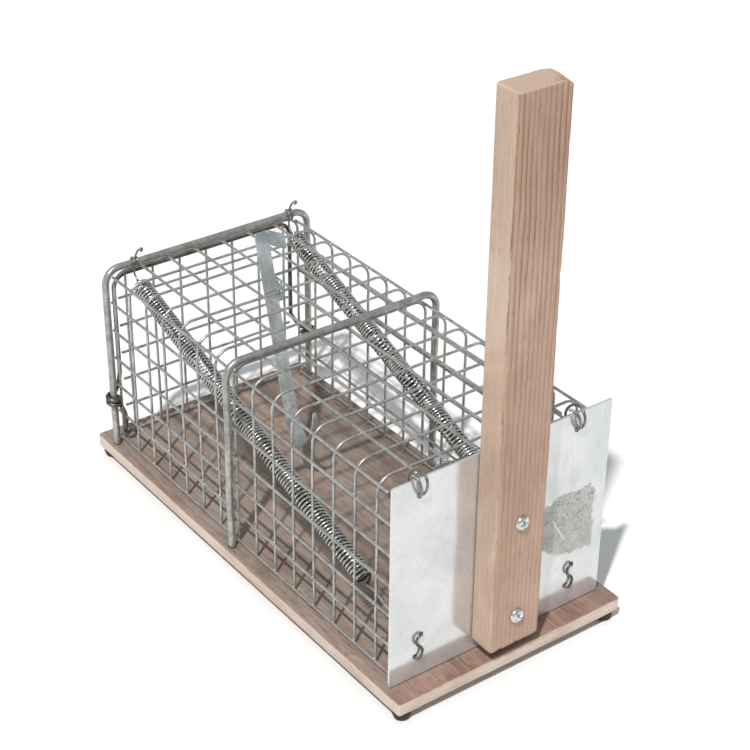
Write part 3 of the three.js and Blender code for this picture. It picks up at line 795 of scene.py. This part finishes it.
for i, (x, z, y0, (nx, nz)) in enumerate(longs):
    ys = np.arange(y0, CAGE_Y1 + 1.0, 2.9).tolist() + [CAGE_Y1 + 1.0]
    wire(g, [(x, y, z) for y in ys], WIRE_R, 60 + i * 2.3)
    for y in rows:
        if y > y0:
            g.knot((x - nx * OUT * 0.5, y, z - nz * OUT * 0.5), 0.74, (0.95, 0.95, 0.95))
g.warp(sag)
g.build("cage_net", WIRE, "cage", ["mesh_left", "mesh_top", "mesh_right"])

g = Geo()
for i in range(-3, 4):
    wire(g, [(i * PITCH, END_Y, z) for z in np.linspace(CAGE_Z0 - 1, CAGE_TOP - 3.2, 28)], WIRE_R, i * 5.5 + 40)
for j, z in enumerate(side_z):
    wire(g, [(x, END_Y + OUT, z) for x in np.linspace(-41.2, 41.2, 30)], WIRE_R, j * 4.1 + 90)
    for i in range(-3, 4):
        g.knot((i * PITCH, END_Y + OUT * 0.5, z), 0.74, (0.95, 0.95, 0.95))
g.warp(lambda v: v + np.array([[0.18 * fnoise(q, 0.05, 71), 0.0, 0.18 * fnoise(q, 0.05, 83)] for q in v]))
g.build("end_net", WIRE, "cage", ["mesh_end"])

# ------------------------------------------------------------------ door: plate, batten, screws, nuts, rings, ties
g = Geo()
rings = []
for y, inset in [(PY, 0.14), (PY + 0.12, 0.0), (PY + PT - 0.12, 0.0), (PY + PT, 0.14)]:
    rings.append([(x, y, z) for x, z in rrect(PX0 + inset, PX1 - inset, PZ0 + inset, PZ1 - inset, 0.9, 4.0, (PX1 - PX0, PZ1 - PZ0), 4)])
g.stack(rings)
plate = g.build("door_plate_sheet", SHEET)
tools = [cylinder_pts((x, PY - 3, RING_Z - 4.15), "y", 1.25, 8) for x in RING_X]
tools += [cylinder_pts((SX, PY - 3, z), "y", 1.95, 8) for z in SCREW_Z]
for x in TIE_X:
    tools += [cylinder_pts((x + 1.2, PY - 3, 28.2), "y", 1.1, 8), cylinder_pts((x - 1.2, PY - 3, 19.4), "y", 1.1, 8)]
cut(plate, tools)
recalc(plate)
sharp_by_angle(plate, 25)
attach(plate, "door"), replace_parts(plate, "door_plate"), plate

g = Geo()
sx0, sx1 = SX - SW / 2, SX + SW / 2
levels = [(SZ0, 0.3), (SZ0 + 0.3, 0.04), (SZ0 + 1.4, 0.0)] + [(z, 0.0) for z in np.arange(SZ0 + 4.5, SZ1 - 2.4, 2.5)] + [(SZ1 - 1.2, 0.0), (SZ1 - 0.45, 0.05), (SZ1, 0.45)]
rings = []
for z, inset in levels:
    ring = []
    for x, y in rrect(sx0 + inset, sx1 - inset, SY0 + inset, SY1 - inset * 0.4, 0.65, 0.85, (sx1 - sx0, SY1 - SY0), 4):
        zz = z
        # rough sawn foot
        if z < SZ0 + 1.9:
            ragged = 1.3 * max(0.0, fnoise((x, y, 0), 0.6, 5)) + 0.9 * max(0.0, fnoise((x, y, 3), 1.7, 8))
            zz = z + ragged
        # the head: a knocked right corner and soft front edge
        if z > SZ1 - 2.0:
            drop = 1.7 * max(0.0, min(1.0, (x - 3.7) / 4.6)) * max(0.35, min(1.0, (SY1 - y) / 9.0))
            zz = z - drop * (1.0 if z > SZ1 - 0.6 else 0.55)
            zz -= 0.16 * abs(fnoise((x, y, 2), 0.6, 15)) if z > SZ1 - 0.6 else 0
        # wear and chips down the two front edges
        front = max(0.0, 1 - (y - SY0) / 2.6) ** 1.5
        lc, rc = max(0.0, 1 - (x - sx0) / 2.6) ** 1.5, max(0.0, 1 - (sx1 - x) / 2.6) ** 1.5
        worn = 0.22 * (0.5 + fnoise((0, 0, z), 0.05, 2)) + 0.30 * max(0.0, fnoise((0, 0, z), 0.33, 12)) ** 1.0
        chip = 0.6 * math.exp(-((z - 118) / 3.0) ** 2) + 0.5 * math.exp(-((z - 131) / 2.0) ** 2) + 0.35 * math.exp(-((z - 52) / 2.2) ** 2)
        nx = x + lc * front * (worn + chip) - rc * front * (0.6 * worn + 0.5 * math.exp(-((z - 160) / 2.5) ** 2))
        ny = y + (lc * (worn + chip) + rc * 0.6 * worn) * front * 0.8
        nx += 0.08 * fnoise((0, 0, z), 0.05, 31)
        ring.append((nx, max(ny, SY0), zz))
    rings.append(ring)
g.stack(rings)
batten = g.build("door_batten", BATTEN)
recalc(batten)
sharp_by_angle(batten, 42)
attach(batten, "door"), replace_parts(batten, "door_stick"), batten

for which, z in zip(("lower", "upper"), SCREW_Z):
    spin = 0.5 if which == "lower" else 0.12
    n = 48
    tip = PY + PT + 3.0
    rings = []

    def disc(r, y, cross=False):
        ring = []
        for k in range(n):
            a = 2 * math.pi * k / n
            x, h = r * math.cos(a), r * math.sin(a)
            d = 0.0
            if cross:
                ca, sa = math.cos(spin), math.sin(spin)
                p, q = x * ca + h * sa, -x * sa + h * ca
                arm = min(abs(p), abs(q))
                d = 0.95 * (1 - min(1, max(0, (arm - 0.24) / 0.16))) * (1 - min(1, max(0, (r - 1.45) / 0.2))) * (1.0 if r < 0.9 else 1 - 0.35 * (r - 0.9) / 0.6)
            ring.append((SX + x, y + d, z + h))
        return ring
    y0 = SY0 - 0.05
    g = Geo()
    for r in [0.04, 0.16, 0.28, 0.40, 0.55, 0.72, 0.9, 1.08, 1.26, 1.42, 1.56, 1.72]:
        rings.append(disc(r, y0 - 1.7 + 0.06 * (r / 1.7) ** 2, True))
    for r, h in [(2.0, 1.54), (2.3, 1.36), (2.56, 1.1), (2.76, 0.78), (2.88, 0.42), (2.9, 0.14), (2.86, 0.0)]:
        rings.append(disc(r, y0 - h))
    rings.append(disc(1.55, y0))
    yy, i = y0 + 0.2, 0
    while yy < tip - 0.5:
        ring = []
        for k in range(n):
            a = 2 * math.pi * k / n
            ph = ((yy - y0) / 0.7 + k / n) % 1.0
            r = 1.36 + 0.24 * (1 - abs(2 * ph - 1)) if yy > PY - 1 else 1.5
            ring.append((SX + r * math.cos(a), yy, z + r * math.sin(a)))
        rings.append(ring)
        yy += 0.14 if yy > PY - 1.1 else 2.0
        i += 1
    rings += [disc(1.25, tip), disc(0.9, tip + 0.3)]
    g.stack(rings)
    ob = g.build("screw_" + which + "_pan_head", SCREW, "door", ["screw_" + which])
    recalc(ob)
    sharp_by_angle(ob, 50)

    g = Geo()
    yb = PY + PT + 0.3
    rings = []

    def hexring(y, hexed, rin=None):
        ring = []
        for k in range(48):
            a = 2 * math.pi * k / 48
            if rin:
                r = rin
            else:
                flat_r = 2.77
                r = flat_r / math.cos(((a + math.pi / 6) % (math.pi / 3)) - math.pi / 6)
                r = r if hexed else min(r, 2.84)
            ring.append((SX + r * math.cos(a), y, z + r * math.sin(a)))
        return ring
    rings = [hexring(yb, False, 1.75), hexring(yb, False), hexring(yb + 0.3, True), hexring(yb + 1.9, True), hexring(yb + 2.2, False), hexring(yb + 2.2, False, 1.9), hexring(yb + 2.0, False, 1.65), hexring(yb + 0.2, False, 1.65)]
    g.stack(rings, hollow=True)
    ob = g.build("nut_" + which + "_hex", SCREW, "door", ["nut_" + which])
    recalc(ob)
    sharp_by_angle(ob, 30)

for i, x in enumerate(RING_X):
    p = []
    turns = 1.55
    for k in range(int(turns * 30) + 1):
        a = 2 * math.pi * k / 30 + math.radians(100)
        t = k / (turns * 30)
        z = RING_Z + (RING_R - 0.1) * math.sin(a)
        lift = (math.sin(a) + 1) / 2
        p.append((x + math.tanh((t - 0.5) * 9) * (0.5 + 1.15 * lift) + 0.15 * math.sin(a * 1.7 + i * 2), RING_Y + (RING_R - 0.1) * math.cos(a), z - 0.25 * lift))
    p = [(x - 3.0, RING_Y - 0.2, RING_Z + RING_R - 0.5), (x - 2.4, RING_Y - 0.9, RING_Z + RING_R - 0.35)] + p[2:]
    p = smooth_path(p, 3)
    g = Geo()
    g.tube(p, [0.5 * (1 + 0.06 * fnoise(q, 0.8, 3)) for q in p], 10)
    side = "right" if i else "left"
    g.build("hinge_ring_" + side + "_wire", RINGM, "door", ["hinge_ring_" + side])

for i, x in enumerate(TIE_X):
    y = PY - 0.95
    q = [(x + 1.2, PY + 2.1, 26.6), (x + 1.2, PY + 1.7, 28.0), (x + 1.2, PY + 0.3, 28.4), (x + 0.8, y + 0.1, 28.7), (x - 0.5, y, 28.5), (x - 1.35, y, 27.2), (x - 1.2, y, 25.6),
         (x - 0.3, y, 24.4), (x + 0.7, y - 0.05, 23.4), (x + 1.3, y, 22.0), (x + 1.1, y, 20.4), (x + 0.2, y, 19.0), (x - 0.8, y + 0.1, 18.9), (x - 1.2, PY + 0.3, 19.1), (x - 1.2, PY + 1.7, 19.6), (x - 1.2, PY + 2.1, 21.0)]
    p = smooth_path(q, 7)
    g = Geo()
    g.tube(p, [0.52 * (1 + 0.10 * fnoise(c, 0.8, 5 + i)) for c in p], 10)
    side = "right" if i else "left"
    g.build("door_tie_" + side + "_wire", DARK, "door", ["door_tie_" + side])

# ------------------------------------------------------------------ springs
for i, (A, B) in enumerate(zip(SPRING_A, SPRING_B)):
    side_name = "right" if i else "left"
    a, b = np.array(A, float), np.array(B, float)
    L = np.linalg.norm(b - a)
    ax = (b - a) / L
    sd = unit(np.array([1.0, 0, 0]) - ax * ax[0])
    up = np.cross(sd, ax)

    def at(s, p=0.0, q=0.0):
        return a + ax * s + sd * p + up * q
    turns, per = 104, 14
    pts = []
    # far hook: in from the tie, out to the coil
    hook = [at(COIL_S0 - 2.6, 0, -0.6), at(COIL_S0 - 1.9, 0.2, 0.4), at(COIL_S0 - 1.2, 1.0, 1.3), at(COIL_S0 - 0.6, 2.3, 1.3)]
    for k in range(turns * per + 1):
        t = k / (turns * per)
        s = COIL_S0 + (COIL_S1 - COIL_S0) * t
        s += (0.5 + 0.5 * i) * math.sin(t * 2 * math.pi * 6.5 + i * 1.3) * math.sin(math.pi * t)
        ang = 2 * math.pi * k / per
        r = COIL_R * (1 + 0.012 * math.sin(k * 0.31))
        r *= 1 - 0.25 * max(0.0, 1 - t * turns / 1.0) - 0.25 * max(0.0, 1 - (1 - t) * turns / 1.0)
        pts.append(at(s, r * math.cos(ang), r * math.sin(ang)))
    tail = [at(COIL_S1 + 0.7, 2.0, 1.6), at(COIL_S1 + 1.5, 0.9, 2.0), at(COIL_S1 + 2.2, 0.1, 1.5)]
    path = np.vstack([smooth_path(hook + [pts[0]], 5)[:-1], arr(pts), smooth_path([pts[-1]] + tail, 5)[1:]])
    g = Geo()
    g.tube(path, COIL_W * 1.08, 8)
    ob = g.build("spring_" + side_name + "_coil", COIL)
    flat_v = np.vstack(g.v)
    ring_mid = flat_v.reshape(-1, 8, 3).mean(1, keepdims=True)
    along = ((ring_mid - a) @ ax)[..., None] * ax + a
    outward = ring_mid - along
    outward /= np.maximum(np.linalg.norm(outward, axis=2, keepdims=True), 1e-6)
    spoke = (flat_v.reshape(-1, 8, 3) - ring_mid)
    spoke /= np.maximum(np.linalg.norm(spoke, axis=2, keepdims=True), 1e-6)
    turn_side = (spoke * outward).sum(2).reshape(-1)
    ob.data.attributes.new("turn_side", "FLOAT", "POINT").data.foreach_set("value", turn_side.astype(np.float32))
    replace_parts(ob, "spring_" + side_name), ob
    s0, s1 = at(COIL_S0), at(COIL_S1)
    to_m = lambda v: Vector(((v[0]) / 1000, (v[1] + OY) / 1000, v[2] / 1000))
    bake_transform(ob)
    co = np.zeros(len(ob.data.vertices) * 3, np.float32)
    ob.data.vertices.foreach_get("co", co)
    co = co.reshape(-1, 3)
    v0, v1 = np.array(to_m(s0)), np.array(to_m(s1))
    w = np.clip(((co - v0) @ (v1 - v0)) / ((v1 - v0) @ (v1 - v0)), 0, 1)

    g = Geo()
    path = smooth_path([at(COIL_S1 + 1.9, 0.1, 1.9), at(COIL_S1 + 3.2, 0.0, 1.2), at(COIL_S1 + 4.8, 0, 0.5), at(COIL_S1 + 8), at(COIL_S1 + 16), at(L - 6), at(L - 2.6)], 6)
    g.tube(path, COIL_W, 10)
    g.build("spring_tail_" + side_name + "_wire", SPRING, "spring_tail_" + side_name, ["spring_tail_" + side_name])

    # thin wire that ties the spring to the hoop
    t = [at(COIL_S0 - 1.6, 0, -0.4)]
    y0, z0, r = HOOP_FAR_Y, HOOP_Z, HOOP_R + 0.3 + 0.4
    sgn = 1 if i else -1
    x = A[0] + sgn * 0.2
    t.append(np.array((x, y0 - 1.9, z0 - 4.2)))
    for k in range(55):
        ga = -math.pi * 0.86 - (k / 54) * 2 * math.pi * 1.55
        t.append(np.array((x + (k / 54) * 2.6, y0 + r * math.cos(ga), z0 + r * math.sin(ga))))
    t += [np.array(q) for q in [(x + 3.0, y0 + 0.9, z0 + 3.4), (x + 3.9, y0 + 0.4, z0 + 4.8), (x + 5.0, y0 + 0.2, z0 + 5.0), (x + 5.4, y0 + 0.5, z0 + 4.1), (x + 4.7, y0 + 0.9, z0 + 3.4)]]
    path = smooth_path(t, 3)
    g = Geo()
    g.tube(path, 0.4, 9)
    g.build("spring_tie_" + side_name + "_wire", RINGM, "cage", ["spring_tie_" + side_name])

# ------------------------------------------------------------------ trigger strip
S = np.array([0, math.sin(LEAN), math.cos(LEAN)])
N = np.array([0, -math.cos(LEAN), math.sin(LEAN)])
O = np.array([0, PIVOT[0], PIVOT[1]])


def ns(n, s, x):
    return O + N * n + S * s + np.array([x, 0, 0])


def smooth2(points, per=5):
    return [(q[0], q[1]) for q in smooth_path([(a, b, 0) for a, b in points], per)]


hook = [(-1.45, -48), (-1.2, -53), (-0.2, -57.2), (1.8, -60.4), (4.8, -61.9), (8.4, -60.9), (11.8, -58), (14.6, -54), (16.0, -50.2), (16.6, -46.4)]
centre = [(-1.45, s) for s in np.arange(25, -44, -3.0)] + smooth2(hook, 5)
cx, half = (X0 + X1) / 2, (X1 - X0) / 2
g = Geo()
rings = []
c = arr([(n, s, 0) for n, s in centre])
tan = np.gradient(c, axis=0)
tan /= np.linalg.norm(tan, axis=1)[:, None]
run = np.concatenate([[0], np.cumsum(np.linalg.norm(np.diff(c, axis=0), axis=1))])
for k, (n, s, _) in enumerate(c):
    nn, ss = tan[k][1], -tan[k][0]  # across the sheet
    left_run = run[-1] - run[k]
    w = half * min(1.0, 0.26 + 0.74 * (left_run / 21.0) ** 0.75) if left_run < 21 else half
    h, ch = TT / 2, 0.09
    k_end = 0.82 if k in (0, len(c) - 1) else 1.0
    ring = []
    for u, v in [(-w + ch, -h), (w - ch, -h), (w, -h + ch), (w, h - ch), (w - ch, h), (-w + ch, h), (-w, h - ch), (-w, -h + ch)]:
        u, v = u * k_end, v * k_end
        wob = 0.10 * fnoise((u, n, s), 0.08, 17)
        ring.append(ns(n + nn * (v + wob), s + ss * (v + wob), cx + u))
    rings.append(ring)
g.stack(rings)


def plate_piece(g, poly, x0, x1, hole=None):
    """A flat ear: a rounded outline in (n, s) with thickness along X, and maybe a round hole."""
    out = []
    m = len(poly)
    for i in range(m):
        p0, p1, p2 = np.array(poly[i - 1]), np.array(poly[i]), np.array(poly[(i + 1) % m])
        d0, d1 = unit(p0 - p1), unit(p2 - p1)
        r = min(0.9, np.linalg.norm(p0 - p1) * 0.4, np.linalg.norm(p2 - p1) * 0.4)
        a, b = p1 + d0 * r, p1 + d1 * r
        for k in range(5):
            t = k / 4
            out.append((1 - t) ** 2 * a + 2 * t * (1 - t) * p1 + t * t * b)
    ctr = np.mean(out, 0)
    rings = []
    for x, f in [(x0, 0.985), (x0 + 0.08, 1.0), (x1 - 0.08, 1.0), (x1, 0.985)]:
        rings.append([ns(*(ctr + (q - ctr) * f), x) for q in out])
    if hole:
        hn, hs, hr = hole
        # bridge the outline to a circle so the ear is a ring
        ang = [math.atan2(q[1] - hs, q[0] - hn) for q in out]
        circ = [[ns(hn + hr * math.cos(a), hs + hr * math.sin(a), x) for a in ang] for x in (x1, x0)]
        g.stack(rings + circ, hollow=True)
    else:
        g.stack(rings)


plate_piece(g, [(-1.7, 19), (-1.7, 25), (10.3, 25), (10.3, 19)], X1 - 0.1, X1 + TT)
plate_piece(g, [(-1.7, -3.2), (-1.7, 5), (1.2, 5), (2.6, 2.6), (2.6, -1.6), (1.4, -3.2)], X1 - 0.1, X1 + TT, hole=(0.0, 0.0, 1.0))
ob = g.build("trigger_strip_bent", STRIP, "trigger", ["trigger_strip"])
recalc(ob)
sharp_by_angle(ob, 30)

# ------------------------------------------------------------------ lashing on the near bar
p = []
r = FRAME_R + 0.3 + 0.28
for k in range(6 * 22 + 1):
    a = 2 * math.pi * k / 22
    p.append((-27 + (k / (6 * 22)) * 14, FRAME_Y + r * math.cos(a), FRAME_Z + r * math.sin(a)))
g = Geo()
g.tube(p, 0.28, 8)
g.build("lashing_near_wire", RINGM, "cage", ["lashing_near"])

# ------------------------------------------------------------------ floor, light, camera
g = Geo()
rings = []
far = 6000
for r in [far]:
    pass
g.add([(-far, -far, -0.05), (far, -far, -0.05), (far, far, -0.05), (-far, far, -0.05)], [(0, 1, 2, 3)], flat=True)
fm = Mat("pale_floor")
fn = fm.noise(7, 3, 0.5)
FLOOR = fm.set(Base_Color=fm.ramp(fn, [(0.3, (240, 240, 240)), (0.7, (244, 244, 244))]), Roughness=0.85, Metallic=0.0)
floor = g.build("floor", FLOOR)

world = bpy.data.worlds.new("studio")
bpy.context.scene.world = world
world.use_nodes = True
bg = world.node_tree.nodes["Background"]
bg.inputs[0].default_value = (0.93, 0.97, 1.0, 1)
bg.inputs[1].default_value = 0.46
sun = bpy.data.lights.new("key", "SUN")
sun.energy = 2.9
sun.angle = math.radians(1.8)
sun.color = (1.0, 0.985, 0.965)
so = bpy.data.objects.new("key", sun)
bpy.context.scene.collection.objects.link(so)
so.rotation_mode = "QUATERNION"
so.rotation_quaternion = Vector((0.52, 0.36, -1.0)).to_track_quat("-Z", "Y")

cam = bpy.data.cameras.new("camera")
cam.sensor_fit, cam.sensor_width, cam.lens = "HORIZONTAL", 36.0, 88.30
cam.clip_start, cam.clip_end = 0.02, 20
co = bpy.data.objects.new("camera", cam)
bpy.context.scene.collection.objects.link(co)
az, el, roll = math.radians(36.605), math.radians(31.121), math.radians(0.554)
d = Vector((math.sin(az) * math.cos(el), math.cos(az) * math.cos(el), -math.sin(el)))
r0 = Vector((math.cos(az), -math.sin(az), 0))
u0 = r0.cross(d)
R = r0 * math.cos(roll) + u0 * math.sin(roll)
U = -r0 * math.sin(roll) + u0 * math.cos(roll)
rot = Matrix((R, U, -d)).transposed().to_4x4()
co.matrix_world = Matrix.Translation((-0.346272, -0.484614, 0.433216)) @ rot
bpy.context.scene.camera = co
bpy.context.scene.view_settings.view_transform = "Standard"
